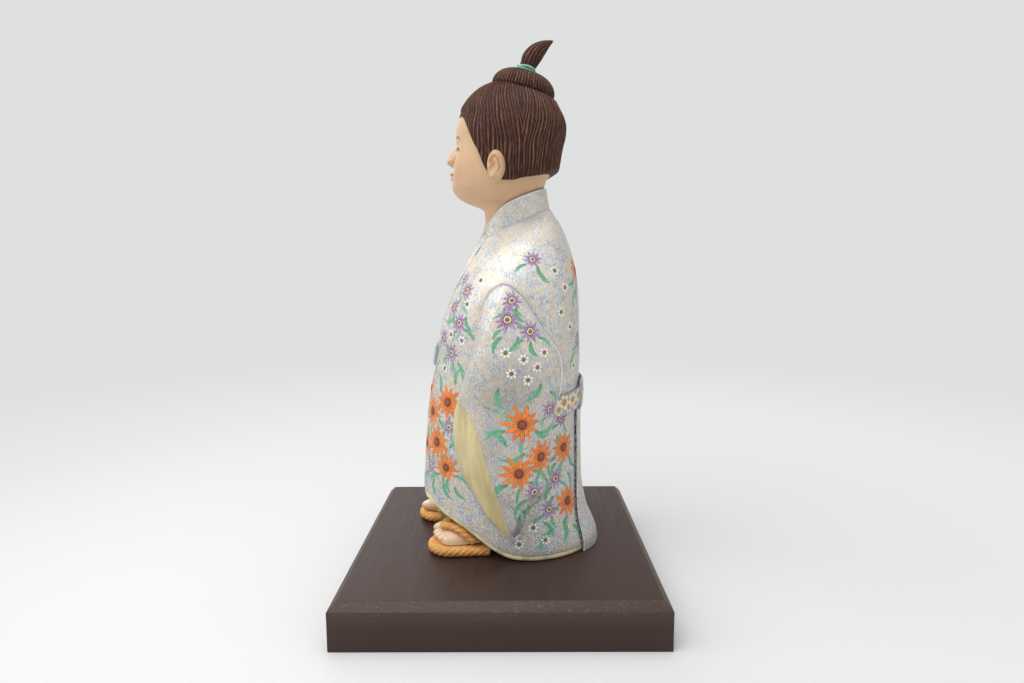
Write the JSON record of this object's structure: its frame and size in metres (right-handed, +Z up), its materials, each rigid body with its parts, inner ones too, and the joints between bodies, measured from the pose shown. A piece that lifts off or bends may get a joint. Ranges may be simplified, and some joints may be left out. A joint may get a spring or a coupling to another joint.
{
  "type": "gosho doll",
  "caption": "Standing carved wooden child doll in a painted robe, with a tied topknot, straw sandals and a square board that it lifts off.",
  "frame": {"origin": "middle of the board's underside", "axes": "+Z up, the doll faces -Y, the doll's left is +X"},
  "size_m": [0.18, 0.18, 0.331],
  "materials": {
    "board_lacquer": "dark brown lacquer, satin",
    "peg_wood": "bare birch",
    "robe_paint": "silver brushed over blue, lavender and gold, painted flowers",
    "panel_paint": "silver brushed over blue and lavender",
    "hem_lining_paint": "cream paint, worn",
    "sleeve_lining_paint": "cream yellow paint over wood grain",
    "inner_robe_paint": "olive cream paint",
    "sash_brocade": "blue grey paint with raised cream and gold relief",
    "skin_paint": "warm flesh paint, matt",
    "hair_paint": "dark brown stain on carved grooves",
    "cord_paint": "mint green paint",
    "straw_paint": "golden ochre paint on carved rope"
  },
  "bodies": {
    "plinth": {"plinth_board": "board_lacquer", "locating_peg_left": "peg_wood", "locating_peg_right": "peg_wood"},
    "figure": {"robe_body": "robe_paint", "hem_lining": "hem_lining_paint", "back_panel": "panel_paint", "sash": "sash_brocade", "sash_knot": "sash_brocade", "front_tie": "sash_brocade", "collar": "robe_paint", "sleeve_left": "robe_paint", "sleeve_right": "robe_paint", "sleeve_lining_left": "sleeve_lining_paint", "sleeve_lining_right": "sleeve_lining_paint", "inner_robe": "inner_robe_paint", "foot_left": "skin_paint", "foot_right": "skin_paint", "sandal_left": "straw_paint", "sandal_right": "straw_paint", "thong_left": "straw_paint", "thong_right": "straw_paint", "head": "skin_paint", "hair_cap": "hair_paint", "hair_bun": "hair_paint", "topknot_cord": "cord_paint", "topknot": "hair_paint"}
  },
  "joints": [
    {"name": "figure_lift", "type": "slide", "parent": "plinth", "child": "figure", "axis": [0, 0, 1], "range_m": [0, 0.018]}
  ]
}
